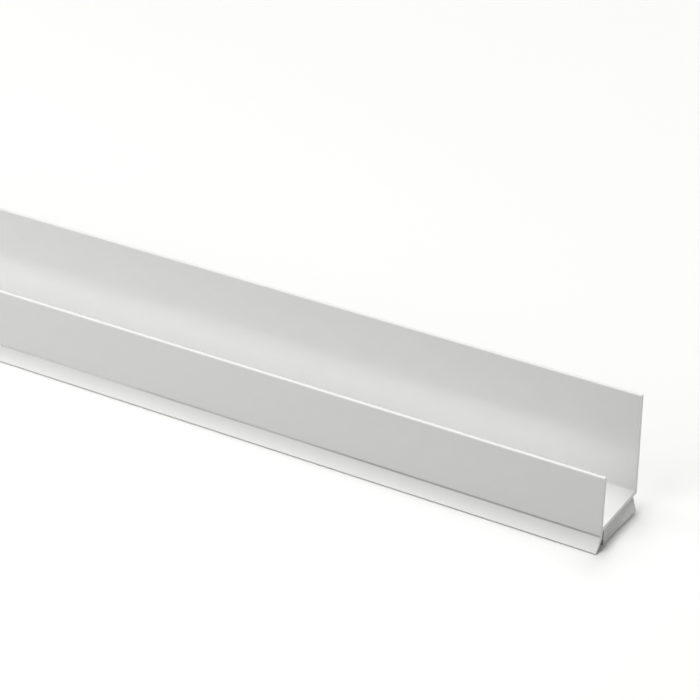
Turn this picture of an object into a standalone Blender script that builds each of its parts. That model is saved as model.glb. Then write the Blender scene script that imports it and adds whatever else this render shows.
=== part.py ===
"""White PVC edging profile for 12.5 mm board, with a foam sealing strip bonded under its base.

The profile is a J-shaped extrusion: a tall back leg, a pocket for the board's edge, a shorter front
leg that leans in to grip the board, and a thin lip that flares out below the front leg and hides the
foam. The length runs along X. The origin is under the middle of the section's box, on the plane that
the foam's underside rests on and that the lip's tip just clears. Sections are drawn in Y (depth) and
Z (height), with the pocket's floor at height 0, and are lifted onto that plane at the end.
"""
import math

import bmesh
import bpy
from mathutils import Matrix, Vector

MM = 0.001

# Stock
LENGTH = 2500.0 * MM

# Rigid section; both legs are measured up from the pocket's floor
POCKET_WIDTH = 13.4 * MM
WALL = 0.8 * MM
BACK_LEG_HEIGHT = 20.0 * MM
FRONT_LEG_HEIGHT = 10.5 * MM
FRONT_LEG_LEAN = math.radians(2.5)
LEG_TIP_RADIUS = 0.3 * MM
INNER_FILLET = 0.3 * MM
OUTER_ROUND = 0.2 * MM
FOOT_BEND = 1.0 * MM

# Skirt below the front leg, and the groove that lets the lip flex
SKIRT_DROP = 0.5 * MM
SKIRT_FILLET = 0.2 * MM
GROOVE_WIDTH = 0.4 * MM
GROOVE_DEPTH = 0.4 * MM
GROOVE_ROUND = 0.06 * MM

# Lip, which flares out in a curve from the groove to its tip
LIP_ROOT_SPLAY = math.radians(20.0)
LIP_TIP_SPLAY = math.radians(52.0)
LIP_TIP_THICKNESS = 0.4 * MM
LIP_TIP_RADIUS = 0.12 * MM
LIP_STEPS = 14

# Foam sealing strip, set back from both outer faces, and the film that bonds it
FOAM_THICKNESS = 3.5 * MM
FOAM_FRONT_SET_BACK = 1.65 * MM
FOAM_REAR_SET_BACK = 1.25 * MM
FOAM_EDGE_ROUND = 0.25 * MM
ADHESIVE_FILM = 0.05 * MM

# Smoothness of the rounds
ARC_STEP = math.radians(15.0)
ROUND_SEGMENTS = 3
WELD_DISTANCE = 0.000001

OUTER_WIDTH = POCKET_WIDTH + 2 * WALL
FOAM_WIDTH = OUTER_WIDTH - FOAM_FRONT_SET_BACK - FOAM_REAR_SET_BACK
REST_LEVEL = -(WALL + ADHESIVE_FILM + FOAM_THICKNESS)


def clear_scene():
    """Removes every object, so that the script starts from an empty scene."""
    for item in list(bpy.data.objects):
        bpy.data.objects.remove(item, do_unlink=True)


def plastic(name, colour, roughness):
    """A Principled material in one plain colour."""
    material = bpy.data.materials.new(name)
    material.use_nodes = True
    shader = material.node_tree.nodes["Principled BSDF"]
    shader.inputs["Base Color"].default_value = (*colour, 1.0)
    shader.inputs["Roughness"].default_value = roughness
    shader.inputs["Metallic"].default_value = 0.0
    return material


def corner_arc(before, corner, after, radius):
    """The points of an arc that rounds one corner and touches both of its sides."""
    towards_before = (before - corner).normalized()
    towards_after = (after - corner).normalized()
    opening = towards_before.angle(towards_after)
    reach = radius / math.tan(opening / 2)
    centre = corner + (towards_before + towards_after).normalized() * radius / math.sin(opening / 2)
    start = corner + towards_before * reach - centre
    sweep = math.pi - opening
    turn = 1 if towards_before.cross(towards_after) < 0 else -1
    steps = max(2, math.ceil(sweep / ARC_STEP))
    return [
        centre + Matrix.Rotation(turn * sweep * step / steps, 2) @ start
        for step in range(steps + 1)
    ]


def rounded_outline(corners):
    """A closed outline from (point, radius) pairs, with an arc wherever the radius is not 0."""
    outline = []
    for index, (corner, radius) in enumerate(corners):
        if radius == 0:
            outline.append(corner)
            continue
        before = corners[index - 1][0]
        after = corners[(index + 1) % len(corners)][0]
        outline.extend(corner_arc(before, corner, after, radius))
    return outline


def slanted(start, angle, height):
    """The point where a line from start, leaning by angle towards +Y as it climbs, meets a height."""
    return Vector((start.x + (height - start.y) * math.tan(angle), height))


def lip_faces(root):
    """The lip's outer and inner face, each from the groove to the tip, as points of the section.

    The outer face is an arc that starts at root. The inner face closes in on it, from the wall's
    thickness to the tip's, and its last point is on the rest level.
    """
    root_thickness = WALL / math.cos(LIP_ROOT_SPLAY)
    drop = root.y - REST_LEVEL - LIP_TIP_THICKNESS * math.sin(LIP_TIP_SPLAY)
    radius = drop / (math.sin(LIP_TIP_SPLAY) - math.sin(LIP_ROOT_SPLAY))
    outer = []
    inner = []
    for step in range(LIP_STEPS + 1):
        share = step / LIP_STEPS
        splay = LIP_ROOT_SPLAY + (LIP_TIP_SPLAY - LIP_ROOT_SPLAY) * share
        thickness = root_thickness + (LIP_TIP_THICKNESS - root_thickness) * share
        out = math.cos(splay) - math.cos(LIP_ROOT_SPLAY)
        down = math.sin(splay) - math.sin(LIP_ROOT_SPLAY)
        face = root + radius * Vector((out, -down))
        outer.append(face)
        inner.append(face + thickness * Vector((math.cos(splay), -math.sin(splay))))
    return outer, inner


def extrude_along_x(name, outline, material, collection):
    """A solid bar with the given section, LENGTH long and centred on X = 0."""
    curve = bpy.data.curves.new(name + "_outline", "CURVE")
    curve.dimensions = "2D"
    curve.fill_mode = "BOTH"
    curve.extrude = LENGTH / 2
    spline = curve.splines.new("POLY")
    spline.points.add(len(outline) - 1)
    for point, (y, z) in zip(spline.points, outline):
        point.co = (y, z, 0, 1)
    spline.use_cyclic_u = True
    sketch = bpy.data.objects.new(name + "_outline", curve)
    collection.objects.link(sketch)
    # The drawing's own axes turn to Y (across), Z (up) and X (along the stock)
    sketch.matrix_world = Matrix(((0, 0, 1, 0), (1, 0, 0, 0), (0, 1, 0, 0), (0, 0, 0, 1)))
    bpy.context.view_layer.update()

    evaluated = sketch.evaluated_get(bpy.context.evaluated_depsgraph_get())
    mesh = bpy.data.meshes.new_from_object(evaluated)
    mesh.name = name
    shape = bmesh.new()
    shape.from_mesh(mesh)
    bmesh.ops.remove_doubles(shape, verts=shape.verts, dist=WELD_DISTANCE)
    bmesh.ops.recalc_face_normals(shape, faces=shape.faces)
    shape.to_mesh(mesh)
    shape.free()
    mesh.materials.clear()
    mesh.materials.append(material)
    bar = bpy.data.objects.new(name, mesh)
    bar.matrix_world = sketch.matrix_world.copy()
    collection.objects.link(bar)
    bpy.data.objects.remove(sketch, do_unlink=True)
    return bar


def profile_outline():
    """The rigid section with its lip, walked anticlockwise from the back leg's foot."""
    back = OUTER_WIDTH
    inside = WALL
    front_foot = Vector((0, 0))
    groove_top = Vector((0, -WALL - SKIRT_DROP))
    groove_root = groove_top + Vector((GROOVE_DEPTH, -GROOVE_WIDTH / 2))
    groove_bottom = groove_top + Vector((0, -GROOVE_WIDTH))
    leg_thickness = Vector((WALL / math.cos(FRONT_LEG_LEAN), 0))

    front_top = slanted(front_foot, FRONT_LEG_LEAN, FRONT_LEG_HEIGHT)
    lip_outer, lip_inner = lip_faces(groove_bottom)

    return rounded_outline([
        (Vector((back, -WALL)), OUTER_ROUND),
        (Vector((back, BACK_LEG_HEIGHT)), LEG_TIP_RADIUS),
        (Vector((back - WALL, BACK_LEG_HEIGHT)), LEG_TIP_RADIUS),
        (Vector((back - WALL, 0)), INNER_FILLET),
        (front_foot + leg_thickness, INNER_FILLET),
        (front_top + leg_thickness, LEG_TIP_RADIUS),
        (front_top, LEG_TIP_RADIUS),
        (front_foot, FOOT_BEND),
        (groove_top, GROOVE_ROUND),
        (groove_root, GROOVE_ROUND),
        (groove_bottom, GROOVE_ROUND),
        *[(point, 0) for point in lip_outer[1:-1]],
        (lip_outer[-1], LIP_TIP_RADIUS),
        (lip_inner[-1], LIP_TIP_RADIUS),
        *[(point, 0) for point in lip_inner[-2:0:-1]],
        (lip_inner[0], FOOT_BEND),
        (Vector((inside, -WALL)), SKIRT_FILLET),
    ])


def foam_strip(name, material, collection):
    """A long box of foam under the pocket's floor, with its long edges slightly rounded."""
    bpy.ops.mesh.primitive_cube_add(size=1)
    strip = bpy.context.active_object
    strip.name = name
    strip.data.name = name
    middle = Vector((
        0,
        FOAM_FRONT_SET_BACK + FOAM_WIDTH / 2,
        REST_LEVEL + FOAM_THICKNESS / 2,
    ))
    size = Matrix.Diagonal((LENGTH, FOAM_WIDTH, FOAM_THICKNESS, 1))
    strip.data.transform(Matrix.Translation(middle) @ size)

    shape = bmesh.new()
    shape.from_mesh(strip.data)
    long_edges = [edge for edge in shape.edges if edge.calc_length() > LENGTH / 2]
    bmesh.ops.bevel(
        shape, geom=long_edges, offset=FOAM_EDGE_ROUND, segments=ROUND_SEGMENTS, profile=0.5,
        affect="EDGES", clamp_overlap=True,
    )
    shape.to_mesh(strip.data)
    shape.free()
    strip.data.materials.append(material)
    for holder in list(strip.users_collection):
        holder.objects.unlink(strip)
    collection.objects.link(strip)
    return strip


def stand_on_rest_level(pieces):
    """Moves the section so that its box is centred on Y = 0 and rests on Z = 0."""
    bpy.context.view_layer.update()
    depths = [(piece.matrix_world @ vertex.co).y for piece in pieces for vertex in piece.data.vertices]
    centre = (min(depths) + max(depths)) / 2
    for piece in pieces:
        piece.matrix_world = Matrix.Translation((0, -centre, -REST_LEVEL)) @ piece.matrix_world


def main():
    clear_scene()
    collection = bpy.data.collections.new("edging_profile_stock")
    bpy.context.scene.collection.children.link(collection)

    white_pvc = plastic("white_rigid_pvc", (0.82, 0.82, 0.81), 0.38)
    grey_foam = plastic("closed_cell_foam", (0.45, 0.45, 0.44), 0.9)

    profile = extrude_along_x("edging_profile", profile_outline(), white_pvc, collection)
    strip = foam_strip("sealing_strip", grey_foam, collection)
    stand_on_rest_level([profile, strip])


main()
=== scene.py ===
# %% [markdown]
# # A white edging profile for board
#
# The object is one length of rigid PVC extrusion, J-shaped in section, that covers the cut edge of
# a 12.5 mm board. A tall back leg, a pocket floor and a shorter front leg hold the board, a thin
# lip splays out in front, and a strip of closed-cell foam under the floor seals the joint.
# The shape comes ready from the CAD frame. This file gives it its finish, builds the soft foam as
# it really looks, and lights it like a small part on a white table.

# %% Load the frame
import math

import bmesh
import bpy
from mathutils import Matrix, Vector, noise


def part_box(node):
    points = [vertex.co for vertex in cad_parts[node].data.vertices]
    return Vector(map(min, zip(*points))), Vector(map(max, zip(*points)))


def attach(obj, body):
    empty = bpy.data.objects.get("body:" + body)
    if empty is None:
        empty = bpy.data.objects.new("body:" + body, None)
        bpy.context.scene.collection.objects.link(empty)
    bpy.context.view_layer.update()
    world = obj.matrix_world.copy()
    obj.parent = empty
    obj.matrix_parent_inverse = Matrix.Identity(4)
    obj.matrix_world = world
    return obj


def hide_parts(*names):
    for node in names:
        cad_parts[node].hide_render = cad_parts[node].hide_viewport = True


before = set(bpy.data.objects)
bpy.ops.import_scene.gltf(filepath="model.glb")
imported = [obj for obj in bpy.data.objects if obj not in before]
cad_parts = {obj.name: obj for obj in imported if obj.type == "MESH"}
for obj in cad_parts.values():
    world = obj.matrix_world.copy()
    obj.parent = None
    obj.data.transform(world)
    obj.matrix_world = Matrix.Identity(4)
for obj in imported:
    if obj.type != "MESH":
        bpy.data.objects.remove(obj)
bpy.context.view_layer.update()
MM = 0.001

# %% [markdown]
# ## Camera
#
# The photograph was taken with a long lens from close above, in front of the sawn end. Only the
# last 130 mm of the stock are in view, and the rest runs out past the left edge of the picture.
# The place, the turn and the lens were fitted to the edges that the picture shows.

# %% Camera
LENS = 128.348
SENSOR_WIDTH = 36.0
CAMERA_PLACE = (1.394547, -0.338504, 0.252721)
CAMERA_YAW = math.radians(30.485)
CAMERA_PITCH = math.radians(30.525)
NEAREST, FARTHEST = 0.01, 100.0

camera_data = bpy.data.cameras.new("camera")
camera_data.sensor_width = SENSOR_WIDTH
camera_data.lens = LENS
camera_data.clip_start, camera_data.clip_end = NEAREST, FARTHEST
camera = bpy.data.objects.new("camera", camera_data)
camera.location = CAMERA_PLACE
camera.rotation_euler = (math.pi / 2 - CAMERA_PITCH, 0, CAMERA_YAW)
bpy.context.scene.collection.objects.link(camera)
bpy.context.scene.camera = camera
print("camera", LENS, "mm,", round(math.degrees(CAMERA_PITCH), 1), "degrees down")

# %% [markdown]
# ## Helpers for materials
#
# A colour is picked as a hex value, the way a screen shows it, and Blender works in linear light,
# so one function turns the first into the second. A second function adds a node, sets its values
# and links its inputs, which keeps each recipe down to about one line per node. Inputs that share
# a name are given by number: i0 is the first.

# %% Helpers for materials
def linear(hex_colour):
    """A linear RGBA colour from an sRGB hex value such as "F2F2F0"."""
    channels = [int(hex_colour[i:i + 2], 16) / 255 for i in (0, 2, 4)]
    return (*[c / 12.92 if c <= 0.04045 else ((c + 0.055) / 1.055) ** 2.4 for c in channels], 1.0)


def add_node(tree, kind, settings=None, **inputs):
    """Adds a node. An input given as a socket is linked, and any other value is set."""
    node = tree.nodes.new(kind)
    for name, value in (settings or {}).items():
        setattr(node, name, value)
    for name, value in inputs.items():
        key = int(name[1:]) if name[0] == "i" and name[1:].isdigit() else name.replace("_", " ")
        socket = node.inputs[key]
        if isinstance(value, bpy.types.NodeSocket):
            tree.links.new(value, socket)
        else:
            socket.default_value = value
    return node


def new_material(name):
    """A material with an empty node tree, its tree and its output node."""
    material = bpy.data.materials.new(name)
    material.use_nodes = True
    material.node_tree.nodes.clear()
    output = material.node_tree.nodes.new("ShaderNodeOutputMaterial")
    return material, material.node_tree, output


# %% [markdown]
# ## Floor and backdrop
#
# The stock lies on a white table that runs out of the picture on every side. The floor is a wide
# sheet of matt white. What the camera sees of it gets a little light of its own, so that it comes
# out white, while the soft shadow under the object stays. In a studio only a small table is lit,
# and a lit floor without an end would throw back too much. So the light that it returns to the
# object comes from a darker tone, which keeps the foam and the undersides as dark as they are in
# the picture.

# %% Floor
FLOOR_SIZE = 80.0
FLOOR_LIFT = 0.08

bpy.ops.object.select_all(action="DESELECT")
bpy.ops.mesh.primitive_plane_add(size=FLOOR_SIZE)
floor = bpy.context.active_object
floor.name = "table"
table_material, tree, output = new_material("matt white table laminate")
sight = add_node(tree, "ShaderNodeLightPath")
seen = add_node(tree, "ShaderNodeMath", {"operation": "MAXIMUM"},
                i0=sight.outputs["Is Camera Ray"], i1=sight.outputs["Is Glossy Ray"])
bounce = add_node(tree, "ShaderNodeBsdfDiffuse", Color=linear("C8C8C7"))
matt = add_node(tree, "ShaderNodeBsdfDiffuse", Color=linear("F2F2F1"))
glow = add_node(tree, "ShaderNodeEmission", Color=(1, 1, 1, 1), Strength=FLOOR_LIFT)
lifted = add_node(tree, "ShaderNodeAddShader", i0=matt.outputs[0], i1=glow.outputs[0])
top = add_node(tree, "ShaderNodeMixShader", Fac=seen.outputs[0], i1=bounce.outputs[0],
               i2=lifted.outputs[0])
tree.links.new(top.outputs[0], output.inputs["Surface"])
floor.data.materials.append(table_material)
print("floor", FLOOR_SIZE, "m wide")

# %% [markdown]
# ## Studio dome
#
# The tones in the photograph say that the sawn end is lit only weakly, from the right. The world
# gives that light: one soft glow, a little above the horizon at the right, which falls off fast to
# both sides and so hardly reaches the legs. The camera and the glossy reflections see plain white
# instead, which is the backdrop.

# %% Studio dome
GLOW_WAY = (0.978, 0.0, 0.208)
GLOW_LEVEL = 2.5
GLOW_FOCUS = 20.0
BACKDROP_WHITE = 0.99

world = bpy.data.worlds.new("studio dome")
bpy.context.scene.world = world
world.use_nodes = True
tree = world.node_tree
tree.nodes.clear()
output = tree.nodes.new("ShaderNodeOutputWorld")
sight = add_node(tree, "ShaderNodeLightPath")
seen = add_node(tree, "ShaderNodeMath", {"operation": "MAXIMUM"},
                i0=sight.outputs["Is Camera Ray"], i1=sight.outputs["Is Glossy Ray"])
place = add_node(tree, "ShaderNodeTexCoord")
towards = add_node(tree, "ShaderNodeVectorMath", {"operation": "DOT_PRODUCT"},
                   i0=place.outputs["Generated"], i1=GLOW_WAY)
near_glow = add_node(tree, "ShaderNodeMath", {"operation": "MAXIMUM"},
                     i0=towards.outputs["Value"], i1=0.0)
focus = add_node(tree, "ShaderNodeMath", {"operation": "POWER"},
                 i0=near_glow.outputs[0], i1=GLOW_FOCUS)
level = add_node(tree, "ShaderNodeMath", {"operation": "MULTIPLY"},
                 i0=focus.outputs[0], i1=GLOW_LEVEL)
strength = add_node(tree, "ShaderNodeMix", {"data_type": "FLOAT"}, i0=seen.outputs[0],
                    i2=level.outputs[0], i3=BACKDROP_WHITE)
dome = add_node(tree, "ShaderNodeBackground", Color=(1, 1, 1, 1), Strength=strength.outputs[0])
tree.links.new(dome.outputs[0], output.inputs["Surface"])
print("dome glow", GLOW_LEVEL, "from the right")

# %% [markdown]
# ## Lamps
#
# The pocket floor is dark beside the back leg and nearly white beside the front leg, and the
# shadow right of the end is short. So the key stands almost overhead, a little to the left. Three
# weaker lamps, behind left, in front left and low in front, open the shade and light the splayed
# lip. These four are suns, because the stock is 2.5 m long and a sun lights all of it alike. Each
# has a wide disc, so that its shadow is soft.

# %% Lamps
# azimuth, elevation and disc in degrees, then strength
LAMPS = {
    "key overhead": (167, 78, 26, 1.87),
    "behind left": (120, 57, 30, 0.84),
    "front left": (240, 50, 30, 0.40),
    "low front": (255, 22, 24, 0.18),
}


def way_from(azimuth, elevation):
    """The way to a lamp. The azimuth turns from +X, right of the stock, towards +Y, behind it."""
    turn, rise = math.radians(azimuth), math.radians(elevation)
    level_reach = math.cos(rise)
    return Vector((level_reach * math.cos(turn), level_reach * math.sin(turn), math.sin(rise)))


for name, (azimuth, elevation, disc, power) in LAMPS.items():
    sun_data = bpy.data.lights.new(name, "SUN")
    sun_data.energy = power
    sun_data.angle = math.radians(disc)
    sun = bpy.data.objects.new(name, sun_data)
    sun.rotation_euler = way_from(azimuth, elevation).to_track_quat("Z", "Y").to_euler()
    bpy.context.scene.collection.objects.link(sun)
    print(name, "from", azimuth, elevation, "disc", disc, "strength", power)

# %% [markdown]
# ## Strip lamp
#
# The fifth lamp is a long strip close in front of the stock. It is even along the stock and fades
# only over the last hand's width, because it ends a little before the sawn end does. This gives
# the legs the slow fall of tone towards the end that they have in the picture.

# %% Strip lamp
TUBE_SIZE = (2.4, 0.1)
TUBE_AWAY = 0.22
TUBE_RISE = 36
TUBE_POWER = 0.86

tube_data = bpy.data.lights.new("front strip", "AREA")
tube_data.shape = "RECTANGLE"
tube_data.size, tube_data.size_y = TUBE_SIZE
tube_data.energy = TUBE_POWER
tube = bpy.data.objects.new("front strip", tube_data)
tube.location = way_from(270, TUBE_RISE) * TUBE_AWAY
tube.rotation_euler = (math.radians(90 - TUBE_RISE), 0, 0)
tube.visible_camera = False
bpy.context.scene.collection.objects.link(tube)
print("front strip", TUBE_SIZE, "m, power", TUBE_POWER)

# %% [markdown]
# ## White rigid PVC: patterns
#
# The profile is rigid PVC (uPVC), extruded: hot plastic is pushed through a steel die and pulled
# off in one long piece. The die leaves very fine lines along the stock and a satin skin with a
# faint peel, and the saw leaves a duller, slightly scored face at the ends. The lines are noise
# that is stretched along X. They are drawn about as coarse as the picture can show.

# %% White rigid PVC patterns
DIE_LINE_SPACING = 0.45 * MM
DIE_LINE_LENGTH = 180 * MM
PEEL_SIZE = 3.0 * MM
SAW_MARK_SPACING = 0.35 * MM
SAW_MARK_SQUEEZE = 0.15
SAWN_FACING = 0.9

pvc, tree, output = new_material("white uPVC, extruded")
place = add_node(tree, "ShaderNodeTexCoord")
along = add_node(tree, "ShaderNodeVectorMath", {"operation": "MULTIPLY"},
                 i0=place.outputs["Object"],
                 i1=(1 / DIE_LINE_LENGTH, 1 / DIE_LINE_SPACING, 1 / DIE_LINE_SPACING))
die_lines = add_node(tree, "ShaderNodeTexNoise", Vector=along.outputs[0], Scale=1.0, Detail=2.0,
                     Roughness=0.6)
peel = add_node(tree, "ShaderNodeTexNoise", Vector=place.outputs["Object"], Scale=1 / PEEL_SIZE,
                Detail=1.0)
across = add_node(tree, "ShaderNodeVectorMath", {"operation": "MULTIPLY"},
                  i0=place.outputs["Object"],
                  i1=(1 / SAW_MARK_SPACING, SAW_MARK_SQUEEZE / SAW_MARK_SPACING,
                      1 / SAW_MARK_SPACING))
saw_marks = add_node(tree, "ShaderNodeTexNoise", Vector=across.outputs[0], Scale=1.0, Detail=3.0)
facing = add_node(tree, "ShaderNodeSeparateXYZ", Vector=place.outputs["Normal"])
end_on = add_node(tree, "ShaderNodeMath", {"operation": "ABSOLUTE"}, i0=facing.outputs["X"])
sawn = add_node(tree, "ShaderNodeMath", {"operation": "GREATER_THAN"},
                i0=end_on.outputs[0], i1=SAWN_FACING)
print("die lines every", DIE_LINE_SPACING / MM, "mm")

# %% [markdown]
# ## White rigid PVC: colour
#
# The white comes from a pigment all through the plastic, so the sawn faces are as white as the
# skin, and a little whiter where the saw has roughened them. The flex groove is painted a greyer
# white in patches along the stock, which is painted shade in the groove. The upward faces high on
# the legs are painted a duller white, which is painted shade that tones down the light on the leg
# tops.

# %% White rigid PVC colour
GROOVE_LEVEL = 2.85 * MM
GROOVE_REACH = 0.22 * MM
GROOVE_CORE = 0.7
GROOVE_SHADE_PATCH = 90 * MM
GROOVE_SHADE_FROM, GROOVE_SHADE_FULL = 0.35, 0.65
RIM_LEVEL = 10 * MM
RIM_FROM, RIM_FULL = 0.2, 0.8

skin_colour = add_node(tree, "ShaderNodeMix", {"data_type": "RGBA"}, i0=peel.outputs[0],
                       i6=linear("F6F6F5"), i7=linear("F8F8F7"))
spot = add_node(tree, "ShaderNodeSeparateXYZ", Vector=place.outputs["Object"])
# Painted shade: the flex groove is painted a greyer white, in patches along the stock.
from_groove = add_node(tree, "ShaderNodeMath", {"operation": "SUBTRACT"},
                       i0=spot.outputs["Z"], i1=GROOVE_LEVEL)
off_groove = add_node(tree, "ShaderNodeMath", {"operation": "ABSOLUTE"},
                      i0=from_groove.outputs[0])
in_groove = add_node(tree, "ShaderNodeMapRange", i0=off_groove.outputs[0], i1=GROOVE_REACH,
                     i2=GROOVE_CORE * GROOVE_REACH)
patches = add_node(tree, "ShaderNodeTexNoise", {"noise_dimensions": "1D"}, W=spot.outputs["X"],
                   Scale=1 / GROOVE_SHADE_PATCH, Detail=2.0)
groove_shade_share = add_node(tree, "ShaderNodeMapRange", i0=patches.outputs[0], i1=GROOVE_SHADE_FROM, i2=GROOVE_SHADE_FULL)
groove_shade = add_node(tree, "ShaderNodeMath", {"operation": "MULTIPLY"},
                i0=in_groove.outputs[0], i1=groove_shade_share.outputs[0])
groove_shaded = add_node(tree, "ShaderNodeMix", {"data_type": "RGBA"}, i0=groove_shade.outputs[0],
                 i6=skin_colour.outputs[2], i7=linear("D6D5D2"))
# Painted shade: upward faces high on the legs are painted a duller white, which tones down the
# bright light on the leg tops.
upward = add_node(tree, "ShaderNodeMapRange", i0=facing.outputs["Z"], i1=RIM_FROM, i2=RIM_FULL)
up_high = add_node(tree, "ShaderNodeMath", {"operation": "GREATER_THAN"},
                   i0=spot.outputs["Z"], i1=RIM_LEVEL)
top_shade = add_node(tree, "ShaderNodeMath", {"operation": "MULTIPLY"},
               i0=upward.outputs[0], i1=up_high.outputs[0])
top_shaded = add_node(tree, "ShaderNodeMix", {"data_type": "RGBA"}, i0=top_shade.outputs[0],
                   i6=groove_shaded.outputs[2], i7=linear("E9E9E7"))
colour = add_node(tree, "ShaderNodeMix", {"data_type": "RGBA"}, i0=sawn.outputs[0],
                  i6=top_shaded.outputs[2], i7=linear("F8F8F7"))
print("dust patches about", round(GROOVE_SHADE_PATCH / MM), "mm long")

# %% [markdown]
# ## White rigid PVC: skin
#
# The skin is satin, a little glossier and duller by turns along the die lines, and the sawn faces
# are duller. Two faint reliefs, of the lines and of the peel, break up the reflections.

# %% White rigid PVC skin
SKIN_ROUGHNESS = (0.46, 0.58)
SAWN_ROUGHNESS = 0.65
LINE_DEPTH = 0.004 * MM
PEEL_DEPTH = 0.006 * MM

skin_roughness = add_node(tree, "ShaderNodeMapRange", i0=die_lines.outputs[0],
                          i3=SKIN_ROUGHNESS[0], i4=SKIN_ROUGHNESS[1])
roughness = add_node(tree, "ShaderNodeMix", {"data_type": "FLOAT"}, i0=sawn.outputs[0],
                     i2=skin_roughness.outputs[0], i3=SAWN_ROUGHNESS)
relief = add_node(tree, "ShaderNodeMix", {"data_type": "FLOAT"}, i0=sawn.outputs[0],
                  i2=die_lines.outputs[0], i3=saw_marks.outputs[0])
line_bump = add_node(tree, "ShaderNodeBump", Strength=1.0, Distance=LINE_DEPTH,
                     Height=relief.outputs[0])
peel_bump = add_node(tree, "ShaderNodeBump", Strength=1.0, Distance=PEEL_DEPTH,
                     Height=peel.outputs[0], Normal=line_bump.outputs[0])
skin = add_node(tree, "ShaderNodeBsdfPrincipled", IOR=1.53, Base_Color=colour.outputs[2],
                Roughness=roughness.outputs[0], Normal=peel_bump.outputs[0])
tree.links.new(skin.outputs[0], output.inputs["Surface"])

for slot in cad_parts["edging_profile"].material_slots:
    slot.material = pvc
print("profile finished in", pvc.name)

# %% [markdown]
# ## Foam sealing strip: shape
#
# The strip is closed-cell polyethylene foam tape. It is slit to width, stuck under the pocket
# floor and sawn through together with the profile. The slitting knife drags its long edges round,
# and the saw opens the cells at its ends. A fine grid the size of the section is extruded along
# the stock in spans, so the ends have enough points for open cells and the sides enough for a
# gentle unevenness.

# %% Foam strip blank
END_GRID = 0.1 * MM
SPAN_LENGTH = 42 * MM

strip_low, strip_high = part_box("sealing_strip")
strip_size = strip_high - strip_low
strip_centre = (strip_low + strip_high) / 2
spans = round(strip_size.x / SPAN_LENGTH)
bpy.ops.object.select_all(action="DESELECT")
bpy.ops.mesh.primitive_grid_add(
    x_subdivisions=round(strip_size.z / END_GRID), y_subdivisions=round(strip_size.y / END_GRID),
    size=1, location=(strip_low.x, strip_centre.y, strip_centre.z), rotation=(0, math.pi / 2, 0))
strip = bpy.context.active_object
strip.name = "foam_strip"
strip.scale = (strip_size.z, strip_size.y, 1)
bpy.ops.object.transform_apply(location=True, rotation=True, scale=True)
bpy.ops.object.mode_set(mode="EDIT")
bpy.ops.mesh.select_all(action="SELECT")
one_span = (strip_size.x / spans, 0, 0)
for span in range(spans):
    bpy.ops.mesh.extrude_region_move(TRANSFORM_OT_translate={"value": one_span})
bpy.ops.mesh.select_all(action="SELECT")
bpy.ops.mesh.normals_make_consistent(inside=False)
bpy.ops.object.mode_set(mode="OBJECT")
print("blank faces", len(strip.data.polygons), "in", spans, "spans")

# %% [markdown]
# ## Foam sealing strip: saw drag
#
# The saw drags the soft foam along. Where the blade leaves it, at the back, the end leans out by
# about half a millimetre towards the table and curls under. At the front, where the blade comes
# in, it stays flat. The picture shows this at the near end, and the far end is made the same.

# %% Foam strip saw drag
SAW_DRAG = 0.65 * MM
DRAG_LOW = 0.25
DRAG_CURL = 0.8
DRAG_GAIN, DRAG_LAG = 1.1, 0.1


def ease(value):
    """A soft step from 0 to 1."""
    value = min(1.0, max(0.0, value))
    return value * value * (3 - 2 * value)


def drag_at(across, up):
    """How far the foam is dragged out, at a place given as shares of the end's width and height."""
    if up > DRAG_LOW:
        lean = (1 - up) / (1 - DRAG_LOW)
    else:
        lean = 1 - DRAG_CURL * (1 - up / DRAG_LOW) ** 2
    return SAW_DRAG * ease(across * DRAG_GAIN - DRAG_LAG) * lean


print("most drag, mm:", round(drag_at(1, DRAG_LOW) / MM, 2))

# %% [markdown]
# ## Foam sealing strip: edges and open cells
#
# The four long edges are rounded by drawing each square corner of the section in to a quarter
# circle. The sides waver inwards by a few hundredths of a millimetre. The pits at the ends follow
# a cell pattern: each point of an end face sinks by how far it lies from the nearest cell wall,
# and the walls stay standing.

# %% Foam strip edges and open cells
FOAM_EDGE_ROUND = 0.25 * MM
SIDE_WAVER = 0.07 * MM
WAVER_LENGTH = 90 * MM
WAVER_HEIGHT = 4 * MM
WAVER_ROW = 5
CELL_SIZE = 0.45 * MM
CELL_DEPTH = 0.1 * MM
CELL_WALL = 0.35
END_SET_BACK = 0.06 * MM
END_ZONE = 1 * MM

half = strip_size / 2
for vertex in strip.data.vertices:
    offset = vertex.co - strip_centre
    over = [max(0.0, abs(offset[axis]) - half[axis] + FOAM_EDGE_ROUND) for axis in (1, 2)]
    if min(over) > 0:
        pull = 1 - max(over) / math.hypot(*over)
        for axis, reach in zip((1, 2), over):
            offset[axis] -= math.copysign(reach * pull, offset[axis])
    sideways = (offset.y / half.y) ** 4
    waver = noise.noise((offset.x / WAVER_LENGTH, offset.z / WAVER_HEIGHT,
                         math.copysign(WAVER_ROW, offset.y)))
    if abs(offset.x) > half.x - END_ZONE:
        distances, cell_middles = noise.voronoi(offset / CELL_SIZE)
        sunk = END_SET_BACK + CELL_DEPTH * ease((distances[1] - distances[0]) / CELL_WALL)
        dragged = drag_at(0.5 + offset.y / strip_size.y, 0.5 + offset.z / strip_size.z)
        offset.x -= math.copysign(sunk, offset.x) - math.copysign(dragged, offset.x)
    offset.y -= math.copysign(SIDE_WAVER * sideways * (0.5 + 0.5 * waver), offset.y)
    vertex.co = strip_centre + offset
strip.data.update()
print("foam strip points shaped", len(strip.data.vertices))

# %% [markdown]
# ## Foam sealing strip: handing over
#
# The strip is soft. It is hung on the root body and takes the place of the plain foam bar of the
# CAD model, which is hidden. The last lines measure that it is closed.

# %% Foam strip handed over
SMOOTH_UP_TO = math.radians(40)

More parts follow.
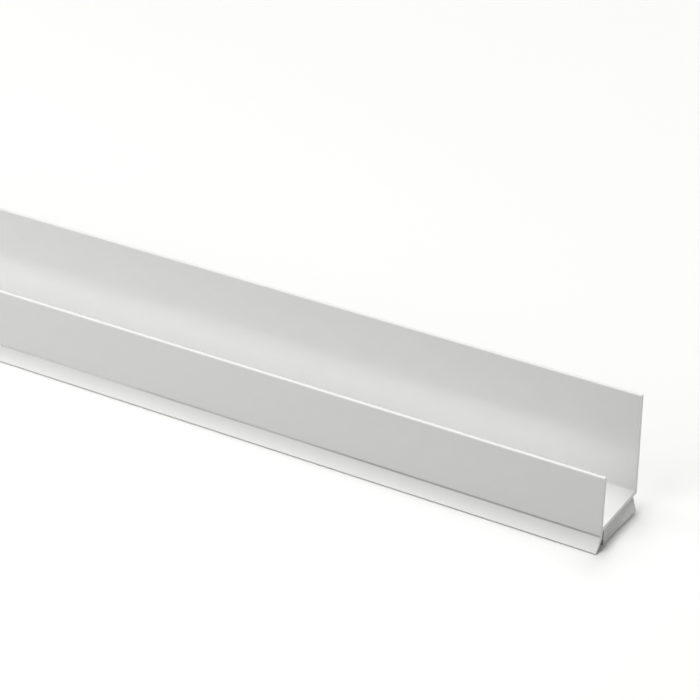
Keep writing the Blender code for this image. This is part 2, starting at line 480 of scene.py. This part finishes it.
bpy.ops.object.shade_smooth_by_angle(angle=SMOOTH_UP_TO)
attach(strip, "root")
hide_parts("sealing_strip")
shape = bmesh.new()
shape.from_mesh(strip.data)
print("foam strip open edges", sum(not edge.is_manifold for edge in shape.edges),
      "volume, cubic cm", round(shape.calc_volume() * 1e6, 1))
shape.free()

# %% [markdown]
# ## Closed-cell polyethylene foam
#
# Polyethylene foam is made of tiny gas bubbles with clear walls, which scatter the light and give
# a soft, quite matt, pale grey. The walls between the cells are a little lighter than the hollows.
# The cells are about half a millimetre across, which is coarse for such a tape and shows in the
# picture. Where the saw has dragged the end out, the foam is painted lighter, which is painted
# light for the key falling on the end that leans out.

# %% Closed-cell polyethylene foam
HOLLOW_FROM = 0.35
# Painted light: from here the sawn end of the foam is painted lighter.
DRAG_LIGHT_FROM, DRAG_LIGHT_FULL = -0.1 * MM, 0.3 * MM
FOAM_RELIEF = 0.03 * MM

foam, tree, output = new_material("closed-cell polyethylene foam, sawn")
place = add_node(tree, "ShaderNodeTexCoord")
cells = add_node(tree, "ShaderNodeTexVoronoi", {"feature": "DISTANCE_TO_EDGE"},
                 Vector=place.outputs["Object"], Scale=1 / CELL_SIZE)
shade = add_node(tree, "ShaderNodeMapRange", i0=cells.outputs[0], i1=0.0, i2=HOLLOW_FROM)
colour = add_node(tree, "ShaderNodeMix", {"data_type": "RGBA"}, i0=shade.outputs[0],
                  i6=linear("E6E6E5"), i7=linear("DADAD9"))
spot = add_node(tree, "ShaderNodeSeparateXYZ", Vector=place.outputs["Object"])
outwards = add_node(tree, "ShaderNodeMath", {"operation": "ABSOLUTE"}, i0=spot.outputs["X"])
# Painted light on the dragged-out end of the foam.
drag_light_mask = add_node(tree, "ShaderNodeMapRange", i0=outwards.outputs[0],
                   i1=half.x + DRAG_LIGHT_FROM, i2=half.x + DRAG_LIGHT_FULL)
drag_lit_colour = add_node(tree, "ShaderNodeMix", {"data_type": "RGBA"}, i0=drag_light_mask.outputs[0],
                    i6=colour.outputs[2], i7=linear("F8F8F7"))
bump = add_node(tree, "ShaderNodeBump", Strength=1.0, Distance=FOAM_RELIEF,
                Height=cells.outputs[0])
body = add_node(tree, "ShaderNodeBsdfPrincipled", IOR=1.45, Roughness=0.85,
                Base_Color=drag_lit_colour.outputs[2], Normal=bump.outputs[0])
tree.links.new(body.outputs[0], output.inputs["Surface"])
strip.data.materials.append(foam)
print("foam strip finished in", foam.name)

# %% [markdown]
# ## Adhesive film: shape
#
# The foam comes with a film of acrylic adhesive on its upper side, a twentieth of a millimetre
# thick, which fills the gap between foam and profile. Its edges stop just short of the foam's and
# wander a little. It starts as a long grid, whose points are moved in code and which is then
# extruded up to the profile.

# %% Adhesive film shape
FILM_SET_BACK = 0.2 * MM
FILM_WANDER = 0.12 * MM
FILM_WANDER_LENGTH = 15 * MM
FILM_SPANS, FILM_LANES = 125, 6
FILM_ROW = 3
WEB_UNDERSIDE = 3.55 * MM

film_size = Vector((strip_size.x - 2 * FILM_SET_BACK, strip_size.y - 2 * FILM_SET_BACK, 0))
bpy.ops.object.select_all(action="DESELECT")
bpy.ops.mesh.primitive_grid_add(x_subdivisions=FILM_SPANS, y_subdivisions=FILM_LANES, size=1,
                                location=(strip_centre.x, strip_centre.y, strip_high.z))
film = bpy.context.active_object
film.name = "adhesive_film"
film.scale = (film_size.x, film_size.y, 1)
bpy.ops.object.transform_apply(location=True, rotation=True, scale=True)
for vertex in film.data.vertices:
    offset = vertex.co - strip_centre
    wander = noise.noise((offset.x / FILM_WANDER_LENGTH, math.copysign(FILM_ROW, offset.y), 0))
    vertex.co.y -= math.copysign((0.5 + 0.5 * wander) * FILM_WANDER, offset.y)
bpy.ops.object.mode_set(mode="EDIT")
bpy.ops.mesh.select_all(action="SELECT")
film_thickness = (0, 0, WEB_UNDERSIDE - strip_high.z)
bpy.ops.mesh.extrude_region_move(TRANSFORM_OT_translate={"value": film_thickness})
bpy.ops.mesh.select_all(action="SELECT")
bpy.ops.mesh.normals_make_consistent(inside=False)
bpy.ops.object.mode_set(mode="OBJECT")
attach(film, "root")
print("film faces", len(film.data.polygons))

# %% [markdown]
# ## Adhesive film: finish
#
# Acrylic adhesive is coated on as a liquid and dries to a clear, slightly yellowish film, glossier
# than the foam, with faint ripples from the coating.

# %% Adhesive film finish
RIPPLE_SIZE = 0.8 * MM
RIPPLE_DEPTH = 0.005 * MM

adhesive, tree, output = new_material("acrylic adhesive film, coated")
place = add_node(tree, "ShaderNodeTexCoord")
ripples = add_node(tree, "ShaderNodeTexNoise", Vector=place.outputs["Object"],
                   Scale=1 / RIPPLE_SIZE)
tint = add_node(tree, "ShaderNodeMix", {"data_type": "RGBA"}, i0=ripples.outputs[0],
                i6=linear("E6E5E0"), i7=linear("DAD9D4"))
bump = add_node(tree, "ShaderNodeBump", Strength=1.0, Distance=RIPPLE_DEPTH,
                Height=ripples.outputs[0])
body = add_node(tree, "ShaderNodeBsdfPrincipled", IOR=1.47, Roughness=0.35,
                Base_Color=tint.outputs[2], Normal=bump.outputs[0])
tree.links.new(body.outputs[0], output.inputs["Surface"])
film.data.materials.append(adhesive)
print("film finished in", adhesive.name)

# %% [markdown]
# ## Finish
#
# The picture is shown without a film look, so that a colour comes out as it was chosen.

# %% Finish
bpy.context.scene.view_settings.view_transform = "Standard"
